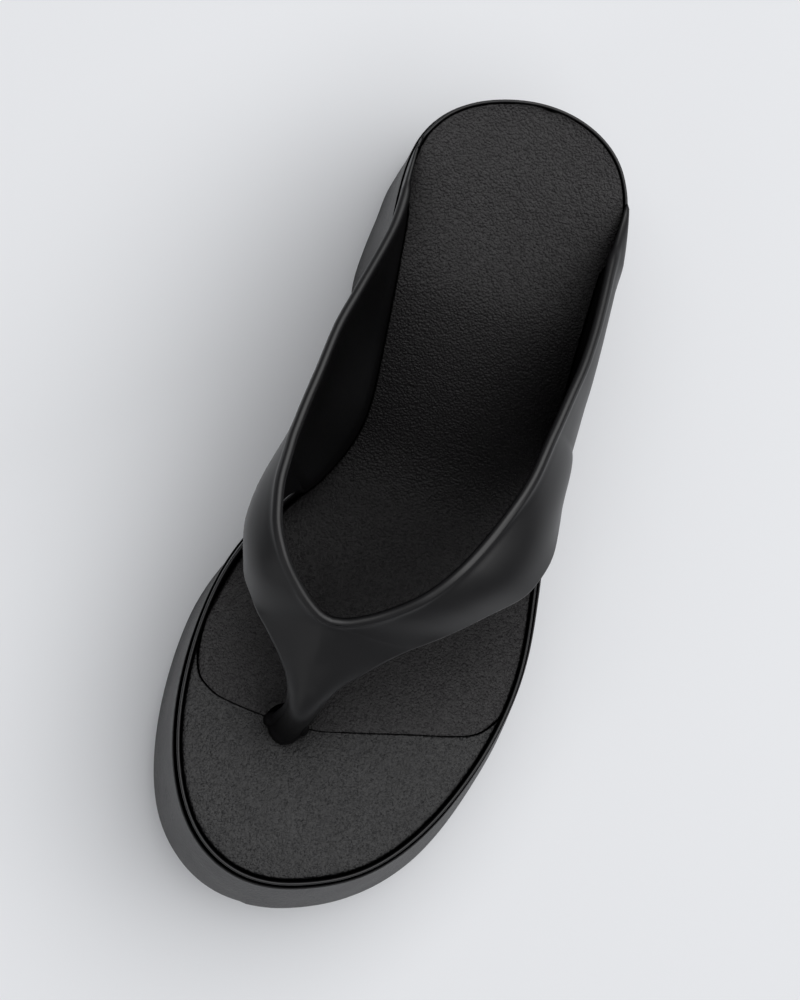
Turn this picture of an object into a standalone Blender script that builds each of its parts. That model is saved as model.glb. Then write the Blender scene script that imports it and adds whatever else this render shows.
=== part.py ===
"""Left toe post wedge sandal, built from three moulded pieces.

sole    one moulded wedge platform: flared wall, chamfered lower edge, notch under the waist, toe spring
upper   one soft moulding: rim band all round, toe bed, two side straps, their meeting over the instep, toe post
insole  moulded insert that fills the band from the heel to the toe post

Stations are distances s in millimetres from the back of the heel towards the toe, x runs from the medial
side (negative) to the lateral side (positive), and z is the height over the ground. The toe points to -Y.
"""
import math

import bpy
import numpy as np

MM = 0.001                    # the tables are in millimetres, the meshes in metres
LENGTH = 260.0                # overall length of the sole
CENTRE_X = 0.22               # middle of the widest part, put on the Z axis
GAP = 0.3                     # clearance between pieces that touch
DECK_GAP = 0.45               # clearance over the sole's deck, whose facets rise a little over its curve

RUNGS = 48                    # stations from heel to toe where both sides have a point
SPREAD = 8                    # divisions of a surface from the medial to the lateral side

WALL_LEVELS = (0.0, 0.2, 0.4, 0.6, 0.8, 1.0)   # heights on the sole's wall, from the rim to the chamfer
RIM_ROUND = 0.8               # rounding at the top of the sole's wall
CHAMFER_INSET = 0.85          # width of the lower chamfer for each unit of its height

BAND_HALF = 0.9               # half thickness of the rim band
STRAP_HALF = 1.3              # half thickness of the side straps
BEAD_HALF = 1.6               # half thickness of the bead along the throat
BEAD_WIDTH = 3.2              # distance from the throat edge to the trough behind the bead
BEAD_SHARE = 0.4              # the most that the bead takes of a low strap
TROUGH_HALF = 1.1             # half thickness in that trough
STRAP_BOW = 0.06              # outward bulge of a strap on the band, for each unit of its height
FULL_STRAP = 14.0             # height from which a strap has its full thickness
EDGE_ROUND = 0.7              # how far a free edge bulges, for each unit of half thickness
END_ROUND = 0.1               # the same at the lower end of the post
STRAP_ROWS = (0.0, 0.25, 0.5, 0.75)            # places across a strap, before the bead's two rows
STRAP_START = 28.0            # station where the band begins to rise into the straps

BED_BELOW_LIP = 0.95          # toe bed below the band's lip
INSOLE_BELOW_LIP = 0.6        # insole edge below the band's lip
HEEL_CUP = 1.6                # depth of the dish under the heel, its station and its half length
HEEL_CUP_S = 40.0
HEEL_CUP_LENGTH = 38.0
SEAM_PULL = 7.0               # how local the curve of the insole's front edge is
BED_PULL = 3.0                # the same in the toe bed
NOTCH_RADIUS = 6.9            # notch in the insole's front edge round the root of the post
NOTCH_DEPTH = 30.0


class Table:
    """Rows with named columns, read between the rows as smooth curves of the first column."""

    def __init__(self, columns, *rows):
        self.columns = columns
        self.rows = np.array(rows, dtype=float)

    def at(self, name, place):
        """Monotone cubic through one column, held level beyond the first and last row."""
        x = self.rows[:, 0]
        y = self.rows[:, self.columns.index(name)]
        step = np.diff(x)
        slope = np.diff(y) / step
        tangent = np.zeros(len(x))
        tangent[0], tangent[-1] = slope[0], slope[-1]
        for i in range(1, len(x) - 1):
            if slope[i - 1] * slope[i] > 0:
                before, after = 2 * step[i] + step[i - 1], step[i] + 2 * step[i - 1]
                tangent[i] = (before + after) / (before / slope[i - 1] + after / slope[i])
        place = min(max(place, x[0]), x[-1])
        i = min(int(np.searchsorted(x, place, side="right")) - 1, len(step) - 1)
        t = (place - x[i]) / step[i]
        return float(y[i] * (1 + 2 * t) * (1 - t) ** 2 + y[i + 1] * t * t * (3 - 2 * t)
                     + step[i] * t * (1 - t) * (tangent[i] * (1 - t) - tangent[i + 1] * t))


# Top edge of the sole seen from above, once round from the heel along the medial side.
OUTLINE = (
    (7.4, 1.0), (9.8, -12.0), (16.4, -24.2), (26.0, -30.9), (38.0, -32.6), (52.0, -31.6), (72.0, -28.6),
    (94.0, -25.6), (111.0, -25.1), (124.0, -29.8), (142.0, -40.0), (158.0, -47.4), (176.0, -51.2),
    (194.0, -51.9), (212.0, -49.7), (228.0, -44.2), (241.0, -34.9), (248.4, -22.0), (249.6, -11.0),
    (246.2, 3.2), (238.8, 17.2), (225.0, 30.0), (208.0, 38.9), (188.0, 45.2), (168.0, 48.2), (146.0, 46.7),
    (124.0, 42.9), (104.0, 39.6), (84.0, 37.0), (64.0, 36.2), (44.0, 36.4), (29.6, 33.4), (17.3, 26.9),
    (9.6, 15.2),
)

# Groove between sole and band, height of the band over it, and how far the band stands in from the wall.
RIM = Table(
    ("s", "groove", "band", "inset"),
    (7.0, 100.8, 4.8, 0.6),
    (29.0, 97.6, 4.8, 0.6),
    (61.0, 91.8, 4.8, 0.6),
    (76.0, 86.3, 4.8, 0.7),
    (90.0, 79.4, 4.8, 0.8),
    (103.0, 72.4, 5.0, 0.9),
    (115.5, 66.2, 5.0, 1.1),
    (128.0, 63.5, 4.8, 1.1),
    (145.0, 63.4, 4.6, 1.0),
    (166.0, 66.4, 4.4, 1.0),
    (187.0, 71.0, 4.2, 1.1),
    (208.0, 75.0, 3.9, 1.4),
    (229.0, 79.2, 3.6, 1.7),
    (250.0, 82.6, 3.4, 2.0),
)

# How far the band's lip rises into the rear corners of the openings below the straps.
RISE = Table(
    ("s", "medial", "lateral"),
    (92.0, 0.0, 0.0),
    (104.6, 0.0, 3.6),
    (108.5, 0.0, 1.2),
    (113.0, 0.6, 0.0),
    (124.0, 6.6, 0.0),
    (133.5, 10.8, 0.0),
    (137.5, 8.0, 0.0),
    (143.0, 5.4, 0.0),
    (157.0, 2.8, 0.0),
    (174.0, 0.0, 0.0),
)

# Lower edge of the sole: the waist notch starts later on the medial side.
BOTTOM = Table(
    ("s", "medial", "lateral"),
    (0.0, 24.0, 24.0),
    (1.2, 15.6, 15.6),
    (4.6, 7.2, 7.2),
    (10.0, 1.8, 1.8),
    (17.0, 0.0, 0.0),
    (67.0, 0.0, 0.0),
    (76.0, 0.0, 3.0),
    (86.0, 2.6, 9.0),
    (96.0, 6.8, 12.4),
    (105.0, 7.6, 10.3),
    (113.0, 5.4, 5.0),
    (124.0, 1.2, 0.8),
    (133.0, 0.0, 0.0),
    (153.0, 0.0, 0.0),
    (166.0, 1.2, 1.2),
    (187.0, 5.5, 5.5),
    (208.0, 12.0, 12.0),
    (229.0, 20.2, 20.2),
    (250.0, 30.6, 30.6),
    (260.5, 41.0, 41.0),
)

# How far the wall leans out below the rim, the height of the chamfer along its foot, and how early in its
# height the wall leans out (1 is a straight wall).
WALL = Table(
    ("s", "medial", "lateral", "chamfer", "bow"),
    (7.4, 7.4, 7.4, 0.8, 1.9),
    (12.0, 4.4, 6.0, 1.2, 1.9),
    (18.0, 1.4, 4.2, 1.8, 1.9),
    (26.0, -1.2, 3.4, 2.1, 1.9),
    (38.0, -1.1, 2.8, 2.3, 1.8),
    (48.0, 0.5, 2.6, 2.4, 1.8),
    (64.0, 3.0, 2.8, 2.5, 1.7),
    (90.0, 3.0, 3.4, 2.6, 1.7),
    (110.0, 1.8, 3.9, 3.0, 1.6),
    (134.0, -2.8, 4.8, 3.6, 1.6),
    (158.0, -2.4, 6.2, 4.4, 1.5),
    (170.0, -0.6, 7.0, 4.5, 1.5),
    (180.0, 0.8, 7.8, 4.6, 1.4),
    (190.0, 1.6, 8.8, 4.6, 1.4),
    (204.0, 2.8, 9.8, 4.4, 1.3),
    (218.0, 4.6, 11.2, 3.8, 1.2),
    (230.0, 6.9, 12.2, 2.8, 1.15),
    (243.0, 9.4, 11.6, 1.4, 1.15),
    (250.0, 10.4, 10.4, 0.9, 1.15),
)

# Throat edge of both straps while they still stand on the band.
THROAT = Table(
    ("s", "medial", "lateral", "medial_z", "lateral_z"),
    (28.0, -31.0, 32.4, 102.5, 103.0),
    (36.0, -31.2, 33.4, 103.5, 106.0),
    (43.0, -30.9, 33.0, 104.4, 108.0),
    (49.0, -30.5, 32.2, 105.3, 109.5),
    (56.0, -31.4, 32.1, 107.1, 111.5),
    (64.0, -33.0, 32.0, 109.4, 114.0),
    (76.0, -35.9, 31.2, 112.9, 117.5),
    (88.0, -38.6, 29.4, 115.6, 120.5),
    (101.0, -40.0, 27.4, 118.3, 122.9),
    (113.0, -41.0, 25.5, 120.2, 124.4),
    (125.0, -41.9, 21.6, 121.6, 125.6),
)

# Ribs of the straps after they leave the band: lower edge, throat edge, outward bulge between them.
RIB_COLUMNS = ("rib", "low_s", "low_x", "low_z", "throat_s", "throat_x", "throat_z", "bulge")
RIBS_MEDIAL = Table(
    RIB_COLUMNS,
    (0, 134.0, -34.2, 78.8, 118.5, -41.4, 121.0, 3.0),
    (1, 141.0, -40.6, 88.6, 131.0, -41.8, 122.0, 3.4),
    (2, 151.2, -44.6, 96.0, 143.5, -39.9, 122.4, 3.8),
    (3, 161.0, -42.7, 102.0, 153.4, -35.0, 121.6, 4.0),
    (4, 167.6, -38.4, 104.8, 161.0, -28.3, 119.6, 3.6),
    (5, 171.5, -35.4, 106.0, 167.5, -16.5, 117.2, 2.6),
)
RIBS_LATERAL = Table(
    RIB_COLUMNS,
    (0, 104.9, 38.4, 80.2, 98.0, 27.8, 122.2, 2.8),
    (1, 115.0, 38.6, 94.6, 112.5, 25.6, 124.6, 3.0),
    (2, 129.5, 37.6, 107.2, 127.5, 20.8, 125.7, 3.0),
    (3, 142.5, 33.9, 112.6, 142.0, 14.3, 125.6, 2.6),
    (4, 153.5, 24.6, 113.4, 153.0, 6.9, 123.5, 2.4),
    (5, 161.5, 16.0, 112.4, 161.5, -2.7, 119.9, 2.2),
    (6, 168.2, 7.6, 110.8, 167.5, -16.5, 117.2, 2.2),
)

# From the meeting of the straps down through the bend into the toe post: both edges and the crown between.
POST_COLUMNS = ("part", "med_s", "med_x", "med_z", "mid_s", "mid_x", "mid_z",
                "lat_s", "lat_x", "lat_z", "half")
POST = Table(
    POST_COLUMNS,
    (0, 171.5, -35.4, 106.0, 167.5, -16.5, 117.2, 168.2, 7.6, 110.8, 1.5),
    (1, 176.6, -32.9, 106.2, 173.0, -16.6, 113.8, 173.6, 1.2, 109.2, 1.6),
    (2, 181.6, -27.4, 105.6, 179.2, -16.6, 110.2, 179.6, -5.0, 107.0, 1.9),
    (3, 186.2, -23.0, 104.6, 185.4, -16.9, 107.2, 185.6, -10.3, 105.4, 2.2),
    (4, 190.2, -21.3, 102.8, 190.4, -17.0, 104.4, 190.2, -12.4, 103.2, 2.8),
    (5, 194.4, -20.6, 98.6, 194.8, -17.0, 99.4, 194.4, -13.2, 98.8, 3.8),
    (6, 196.9, -20.9, 92.8, 197.3, -17.3, 92.8, 196.9, -13.6, 92.8, 4.4),
    (7, 199.0, -21.4, 86.0, 199.4, -17.6, 86.0, 199.0, -14.0, 86.0, 4.6),
    (8, 200.8, -21.8, 81.2, 201.2, -18.0, 81.2, 200.8, -14.2, 81.2, 5.0),
    (9, 201.8, -23.0, 77.8, 202.2, -18.2, 77.8, 201.8, -13.4, 77.8, 5.8),
    (10, 202.2, -23.4, 75.8, 202.4, -18.3, 75.8, 202.2, -13.2, 75.8, 5.9),
)
POST_CROWN = 2.2              # how flat the crown of the bend is
POST_EDGE_TAPER = 0.62        # how much thinner the post is at its sides than in its middle

# Front edge of the insole, from its medial to its lateral end, as a distance ahead of a straight line.
SEAM_MEDIAL = 174.4
SEAM_LATERAL = 184.1
SEAM = Table(
    ("across", "ahead"),
    (-1.0, 0.0),
    (-0.978, 11.0),
    (-0.918, 20.0),
    (-0.85, 22.4),
    (-0.7, 24.5),
    (-0.35, 24.2),
    (-0.095, 23.4),
    (0.155, 20.0),
    (0.476, 13.6),
    (0.791, 7.8),
    (0.927, 4.6),
    (1.0, 0.0),
)
ACROSS = (-1.0, -0.985, -0.96, -0.92, -0.86, -0.78, -0.66, -0.52, -0.36, -0.2, 0.0,
          0.2, 0.4, 0.6, 0.78, 0.9, 1.0)


def outline_curve(points, steps=60):
    """Closed smooth curve through the outline's points, as many short steps from point to point."""
    knots = np.array(points)
    curve = []
    for i in range(len(knots)):
        p0, p1, p2, p3 = (knots[(i + k) % len(knots)] for k in (-1, 0, 1, 2))
        chord = np.linalg.norm(p2 - p1)
        start = (p2 - p0) / np.linalg.norm(p2 - p0) * chord
        end = (p3 - p1) / np.linalg.norm(p3 - p1) * chord
        for t in np.arange(steps) / steps:
            curve.append(p1 * (1 + 2 * t) * (1 - t) ** 2 + p2 * t * t * (3 - 2 * t)
                         + start * t * (1 - t) ** 2 - end * t * t * (1 - t))
    return np.array(curve)


def sides(curve):
    """Split the closed curve at its two ends: the medial and the lateral side, both from heel to toe."""
    heel, toe = int(np.argmin(curve[:, 0])), int(np.argmax(curve[:, 0]))
    rolled = np.roll(curve, -heel, axis=0)
    toe = (toe - heel) % len(curve)
    medial = rolled[: toe + 1]
    lateral = np.vstack([rolled[toe:], rolled[:1]])[::-1]
    return medial, lateral


MEDIAL, LATERAL = sides(outline_curve(OUTLINE))
HEEL_S, TOE_S = MEDIAL[0, 0], MEDIAL[-1, 0]
STATIONS = [HEEL_S + (TOE_S - HEEL_S) * (1 - math.cos(math.pi * j / RUNGS)) / 2 for j in range(RUNGS + 1)]


def rim_points():
    """Points round the top edge: the heel, the medial side, the toe and the lateral side back again."""
    medial = [(s, float(np.interp(s, MEDIAL[:, 0], MEDIAL[:, 1]))) for s in STATIONS]
    lateral = [(s, float(np.interp(s, LATERAL[:, 0], LATERAL[:, 1]))) for s in STATIONS]
    return np.array(medial + lateral[-2:0:-1])


def outward(points):
    """Unit normals of a closed ring of points seen from above, pointing away from its inside."""
    along = np.roll(points, -1, axis=0) - np.roll(points, 1, axis=0)
    normal = np.column_stack([along[:, 1], -along[:, 0]])
    normal /= np.linalg.norm(normal, axis=1)[:, None]
    inside = points.mean(axis=0)
    if np.sum((points - inside) * normal) < 0:
        normal = -normal
    return normal


RIM_XY = rim_points()
NORMAL = outward(RIM_XY)
COUNT = len(RIM_XY)


def is_medial(i):
    return i <= RUNGS


def rung_of(i):
    """Number of the rung that a point of the ring belongs to, from the heel."""
    return i if i <= RUNGS else COUNT - i


def ring(offset, height):
    """Closed ring of points: the rim moved outwards by offset(i), at height(i)."""
    return [(RIM_XY[i][0] + NORMAL[i][0] * offset(i), RIM_XY[i][1] + NORMAL[i][1] * offset(i), height(i))
            for i in range(COUNT)]


def flare(i):
    return WALL.at("medial" if is_medial(i) else "lateral", RIM_XY[i][0])


def foot_of_wall(i):
    """Station and height of the sole's lower edge below point i of the rim."""
    s = RIM_XY[i][0] + NORMAL[i][0] * flare(i)
    middle = (BOTTOM.at("medial", s) + BOTTOM.at("lateral", s)) / 2
    side = BOTTOM.at("medial" if is_medial(i) else "lateral", s)
    end = math.sin(math.pi * rung_of(i) / RUNGS)
    return s, middle + (side - middle) * min(1.0, 2 * end)


def groove(i):
    return RIM.at("groove", RIM_XY[i][0])


def lip(i):
    s = RIM_XY[i][0]
    return groove(i) + RIM.at("band", s) + RISE.at("medial" if is_medial(i) else "lateral", s)


class Body:
    """Vertices in (s, x, z) millimetres and faces, turned into an object in metres at the end."""

    def __init__(self):
        self.points = []
        self.faces = []

    def add(self, points):
        first = len(self.points)
        self.points += [tuple(float(c) for c in p) for p in points]
        return list(range(first, len(self.points)))

    def band(self, lower, upper):
        """Faces between two closed rings, pointing out of the body when upper lies over lower."""
        n = len(lower)
        for i in range(n):
            j = (i + 1) % n
            self.faces.append((lower[i], lower[j], upper[j], upper[i]))

    def ladder(self, edge, surface, facing_up):
        """Close a ring with rungs across it; surface(rung, across, medial, lateral) places inner points."""
        rows = [[edge[0]]]
        for j in range(1, RUNGS):
            medial, lateral = edge[j], edge[COUNT - j]
            a, b = np.array(self.points[medial]), np.array(self.points[lateral])
            inner = [surface(j, 2 * k / SPREAD - 1, a, b) for k in range(1, SPREAD)]
            rows.append([medial] + self.add(inner) + [lateral])
        rows.append([edge[RUNGS]])
        for before, after in zip(rows, rows[1:]):
            for k in range(SPREAD):
                a, b = before[min(k, len(before) - 1)], before[min(k + 1, len(before) - 1)]
                c, d = after[min(k + 1, len(after) - 1)], after[min(k, len(after) - 1)]
                face = tuple(dict.fromkeys((a, b, c, d)))
                self.faces.append(face[::-1] if facing_up else face)

    def build(self, name, material):
        """Mesh object: stations run to -Y, the toe; every face points out."""
        mesh = bpy.data.meshes.new(name)
        mesh.from_pydata([((x - CENTRE_X) * MM, (LENGTH / 2 - s) * MM, z * MM) for s, x, z in self.points],
                         [], self.faces)
        mesh.validate()
        obj = bpy.data.objects.new(name, mesh)
        bpy.context.scene.collection.objects.link(obj)
        mesh.shade_smooth()
        mesh.set_sharp_from_angle(angle=math.radians(35))
        mesh.materials.append(material)
        return obj


def moulded(name, colour, roughness):
    """Matte moulded plastic."""
    material = bpy.data.materials.new(name)
    material.use_nodes = True
    shader = material.node_tree.nodes["Principled BSDF"]
    shader.inputs["Base Color"].default_value = (*colour, 1.0)
    shader.inputs["Roughness"].default_value = roughness
    shader.inputs["Metallic"].default_value = 0.0
    return material


def straight(rung, across, medial, lateral):
    """Point on the straight line from the medial to the lateral edge."""
    return medial + (lateral - medial) * (across + 1) / 2


def build_sole():
    """Wedge platform: a rounded rim, a wall that leans out to the ground, a chamfer, and a ruled underside."""
    body = Body()

    def wall_height(level):
        return lambda i: ((groove(i) - RIM_ROUND) * (1 - level)
                          + (foot_of_wall(i)[1] + WALL.at("chamfer", RIM_XY[i][0])) * level)

    def wall_offset(level):
        return lambda i: flare(i) * (1 - (1 - level) ** WALL.at("bow", RIM_XY[i][0]))

    rings = [ring(lambda i: -RIM_ROUND, groove)]
    rings += [ring(wall_offset(level), wall_height(level)) for level in WALL_LEVELS]
    rings.append(ring(lambda i: flare(i) - CHAMFER_INSET * WALL.at("chamfer", RIM_XY[i][0]),
                      lambda i: foot_of_wall(i)[1]))
    edges = [body.add(points) for points in rings]
    for upper, lower in zip(edges, edges[1:]):
        body.band(lower, upper)
    body.ladder(edges[0], straight, facing_up=True)
    body.ladder(edges[-1], straight, facing_up=False)
    return body.build("sole", moulded("sole_plastic", (0.017, 0.016, 0.017), 0.62))


def plate(count, place, towards_toe):
    """Body between an upper and a lower grid, both from one point at an end of the shoe to the seam."""
    body = Body()
    sheets = []
    for upper in (True, False):
        tip = body.add([place(0.0, 0.0, upper)])
        rows = [tip * len(ACROSS)]
        rows += [body.add([place(j / count, across, upper) for across in ACROSS]) for j in range(1, count + 1)]
        sheets.append(rows)
    for rows, turned in zip(sheets, (towards_toe, not towards_toe)):
        for before, after in zip(rows, rows[1:]):
            for k in range(len(ACROSS) - 1):
                face = tuple(dict.fromkeys((before[k], before[k + 1], after[k + 1], after[k])))
                body.faces.append(face[::-1] if turned else face)
    upper, lower = ([row[0] for row in rows] + rows[-1][1:] + [row[-1] for row in rows[-2:0:-1]]
                    for rows in sheets)
    if towards_toe:
        body.band(lower, upper)
    else:
        body.band(upper, lower)
    return body


def footbed_point(start, seam_gap, progress, pull, across, edges):
    """Station and x of a point of the footbed, on the way from one end of the shoe to the seam."""
    share = (across + 1) / 2
    end = SEAM_MEDIAL + (SEAM_LATERAL - SEAM_MEDIAL) * share + seam_gap
    s = start + (end - start) * (1 - math.cos(math.pi * progress / 2)) + SEAM.at("ahead", across) * progress ** pull
    medial, lateral = (float(np.interp(s, edge[:, 0], edge[:, 1])) for edge in edges)
    return s, medial + (lateral - medial) * share


def build_insole():
    """Padded insert: it fills the band from the heel to its curved front edge at the toe post."""
    edges = inner_outline(2 * BAND_HALF + GAP)
    start = edges[0][0, 0]

    def place(progress, across, upper):
        s, x = footbed_point(start, 0.0, progress, SEAM_PULL, across, edges)
        if not upper:
            return s, x, RIM.at("groove", s) + DECK_GAP
        cup = HEEL_CUP * math.exp(-((s - HEEL_CUP_S) / HEEL_CUP_LENGTH) ** 2) * (1 - across * across)
        return s, x, RIM.at("groove", s) + RIM.at("band", s) - INSOLE_BELOW_LIP - cup

    body = plate(RUNGS, place, towards_toe=True)
    insole = body.build("insole", moulded("insole_pad", (0.020, 0.018, 0.019), 0.7))
    notch = insole.modifiers.new("post notch", "BOOLEAN")
    notch.operation = "DIFFERENCE"
    notch.solver = "EXACT"
    notch.object = build_post_notch()
    return insole


def build_post_notch():
    """Cutter that keeps the front edge of the insole clear of the post's root."""
    s, x, z = POST.rows[-1][4:7]
    bpy.ops.mesh.primitive_cylinder_add(vertices=32, radius=NOTCH_RADIUS * MM, depth=NOTCH_DEPTH * MM,
                                        location=((x - CENTRE_X) * MM, (LENGTH / 2 - s) * MM, z * MM))
    cutter = bpy.context.object
    cutter.name = "post_notch_form"
    cutter.hide_render = True
    cutter.display_type = "WIRE"
    return cutter


def inner_outline(depth):
    """The rim moved in by the band's inset and by depth: medial and lateral side, both from heel to toe."""
    fine = outline_curve(OUTLINE)
    moved = fine - outward(fine) * np.array([[RIM.at("inset", s) + depth] for s in fine[:, 0]])
    return sides(moved)


def between(table, number, names):
    return np.array([table.at(name, number) for name in names])


def throat_point(s, medial):
    side = "medial" if medial else "lateral"
    return np.array([s, THROAT.at(side, s), THROAT.at(side + "_z", s)])


def rib(low, high, bulge, medial):
    """Points across a strap from its lower edge to the throat, bowed outwards, the last two at the bead."""
    chord = high - low
    length = np.linalg.norm(chord)
    side = np.array([0.0, -1.0 if medial else 1.0, 0.0])
    out = side - chord * np.dot(side, chord) / length ** 2 + np.array([0.0, 0.0, 0.25])
    out /= np.linalg.norm(out)
    trough = 1 - min(BEAD_WIDTH / length, BEAD_SHARE)
    places = [share * trough for share in STRAP_ROWS] + [trough, 1.0]
    return [low + chord * v + out * bulge * math.sin(math.pi * v) for v in places]


def strap_ribs(medial, lip_points):
    """Ribs of one strap, from its start at the heel to the junction, with the rim point each stands on."""
    table = RIBS_MEDIAL if medial else RIBS_LATERAL
    corner = table.rows[0]
    window_s, window_throat = corner[1], corner[4]
    result = []
    for i, point in lip_points:
        s = point[0]
        share = (s - STRAP_START) / (window_s - STRAP_START)
        high = throat_point(STRAP_START + share * (window_throat - STRAP_START), medial)
        length = np.linalg.norm(high - point)
        result.append((i, rib(np.array(point), high, STRAP_BOW * length, medial)))
    low_names, high_names = RIB_COLUMNS[1:4], RIB_COLUMNS[4:7]
    for number in np.arange(0.5, len(table.rows) - 0.75, 0.5):
        result.append((None, rib(between(table, number, low_names), between(table, number, high_names),
                                 table.at("bulge", number), medial)))
    return result


def build_upper():
    """One moulding: the band's ring, the straps that grow out of it, the bend and the post, and the toe bed."""
    points, halves, faces = [], [], []

    def add(point, half):
        points.append(np.array(point, dtype=float))
        halves.append(half)
        return len(points) - 1

    def centre(depth):
        return lambda i: -RIM.at("inset", RIM_XY[i][0]) - depth

    rows = []
    for share in (0.0, 0.5, 1.0):
        heights = ring(centre(BAND_HALF), lambda i: groove(i) + GAP + (lip(i) - groove(i) - GAP
                                                                       - BAND_HALF * EDGE_ROUND) * share)
        rows.append([add(p, BAND_HALF) for p in heights])
    for lower, upper in zip(rows, rows[1:]):
        for i in range(COUNT):
            j = (i + 1) % COUNT
            faces.append((lower[i], lower[j], upper[j], upper[i]))
    lips = rows[-1]

    width = len(STRAP_ROWS) + 2
    last_rows = {}
    for medial in (True, False):
        table = RIBS_MEDIAL if medial else RIBS_LATERAL
        window_s = table.rows[0][1]
        near = [i for i in range(COUNT) if is_medial(i) == medial and 0 < rung_of(i) < RUNGS
                and STRAP_START < RIM_XY[i][0] < window_s + 3]
        near.sort(key=rung_of)
        ribs = strap_ribs(medial, [(i, points[lips[i]]) for i in near])
        grid = []
        for i, section in ribs:
            height = np.linalg.norm(section[-1] - section[0])
            blend = 1.0 if i is None else min(1.0, height / FULL_STRAP)
            half = [BAND_HALF + (h - BAND_HALF) * blend
                    for h in [STRAP_HALF] * len(STRAP_ROWS) + [TROUGH_HALF, BEAD_HALF]]
            low = add(section[0], half[0]) if i is None else lips[i]
            row = [low] + [add(p, h) for p, h in zip(section[1:-1], half[1:-1])]
            if medial or len(grid) < len(ribs) - 1:
                meeting = add(section[-1], half[-1])
            grid.append(row + [meeting if medial or len(grid) < len(ribs) - 1 else last_rows[True][-1]])
        for before, after in zip(grid, grid[1:]):
            for r in range(width - 1):
                face = (before[r], after[r], after[r + 1], before[r + 1])
                faces.append(face if medial else face[::-1])
        start = lips[near[0] - 1] if medial else lips[(near[0] + 1) % COUNT]
        first = grid[0]
        for r in range(width - 1):
            face = (start, first[r], first[r + 1])
            faces.append(face if medial else face[::-1])
        last_rows[medial] = grid[-1]

    across = last_rows[True] + last_rows[False][-2::-1]
    before = across
    steps = 2 * (width - 1)
    spread = [k / (width - 1) - 1 for k in range(steps + 1)]
    for number in np.arange(1, len(POST.rows) - 0.5, 1):
        med, mid, lat = (between(POST, number, POST_COLUMNS[k:k + 3]) for k in (1, 4, 7))
        half = POST.at("half", number)
        post_share = min(1.0, max(0.0, (number - 2) / 3))
        after = []
        for w in spread:
            edge = med if w < 0 else lat
            bow = 1 - abs(w) ** POST_CROWN
            point = mid + (edge - mid) * abs(w)
            point[0] = edge[0] + (mid[0] - edge[0]) * bow
            point[2] = edge[2] + (mid[2] - edge[2]) * bow
            thin = 1 - post_share * POST_EDGE_TAPER * w * w
            after.append(add(point, half * thin))
        for k in range(steps):
            faces.append((before[k], after[k], after[k + 1], before[k + 1]))
        before = after

    body = thicken(points, halves, faces, flat=set(rows[0]), end=set(before))
    upper = body.build("upper", moulded("upper_plastic", (0.016, 0.015, 0.016), 0.45))
    bed = build_toe_bed()
    union = upper.modifiers.new("toe bed", "BOOLEAN")
    union.operation = "UNION"
    union.solver = "EXACT"
    union.object = bed
    return upper


def thicken(points, halves, faces, flat, end):
    """Closed body round an open sheet: both offset faces, and a rounded strip along every free edge.

    The edge through the flat vertices is closed square, and the end of the post is almost level.
    """
    points = np.array(points)
    normal = np.zeros_like(points)
    edges = {}
    for face in faces:
        corners = points[list(face)]
        area = np.zeros(3)
        for k in range(len(face)):
            area += np.cross(corners[k], corners[(k + 1) % len(face)])
        for k, v in enumerate(face):
            normal[v] += area
            edges[(v, face[(k + 1) % len(face)])] = corners.mean(axis=0)
    normal /= np.maximum(np.linalg.norm(normal, axis=1), 1e-9)[:, None]
    for v in flat | end:
        normal[v][2] = 0.0
        normal[v] /= np.linalg.norm(normal[v])
    half = np.array(halves)[:, None]
    body = Body()
    outer = body.add(points + normal * half)
    inner = body.add(points - normal * half)
    free = [edge for edge in edges if (edge[1], edge[0]) not in edges]
    push = np.zeros_like(points)
    for a, b in free:
        along = points[b] - points[a]
        away = (points[a] + points[b]) / 2 - edges[(a, b)]
        away -= along * np.dot(away, along) / np.dot(along, along)
        for v in (a, b):
            push[v] += away / np.linalg.norm(away)
    rim = {}
    for a, b in free:
        for v in (a, b):
            if v not in rim and v not in flat:
                direction = push[v] / max(np.linalg.norm(push[v]), 1e-9)
                reach = END_ROUND if v in end else EDGE_ROUND
                rim[v] = body.add([points[v] + direction * halves[v] * reach])[0]
    body.faces += [tuple(outer[v] for v in face) for face in faces]
    body.faces += [tuple(inner[v] for v in face[::-1]) for face in faces]
    for a, b in free:
        if a in flat and b in flat:
            body.faces.append((outer[b], outer[a], inner[a], inner[b]))
        else:
            body.faces.append((outer[b], outer[a], rim[a], rim[b]))
            body.faces.append((rim[b], rim[a], inner[a], inner[b]))
    return body


def build_toe_bed():
    """Plate inside the front of the band, ahead of the insole; it becomes one with the band and the post."""
    edges = inner_outline(BAND_HALF)
    toe = edges[0][-1, 0]

    def place(progress, across, upper):
        s, x = footbed_point(toe, GAP, progress, BED_PULL, across, edges)
        if not upper:
            return s, x, RIM.at("groove", s) + DECK_GAP
        return s, x, RIM.at("groove", s) + RIM.at("band", s) - BED_BELOW_LIP

    bed = plate(RUNGS // 2, place, towards_toe=False).build(
        "toe_bed_form", moulded("toe_bed_plastic", (0.016, 0.015, 0.016), 0.6))
    bed.hide_render = True
    bed.display_type = "WIRE"
    return bed


for old in list(bpy.data.objects):
    bpy.data.objects.remove(old)

build_sole()
build_insole()
build_upper()
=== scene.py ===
"""Looks of a left toe post wedge sandal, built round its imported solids.

Tables are in millimetres: s runs from the back of the heel to the toe, x from the medial (negative) to the
lateral side, and z is the height over the ground. In the scene the toe points to -Y, in metres.
"""
import math

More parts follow.
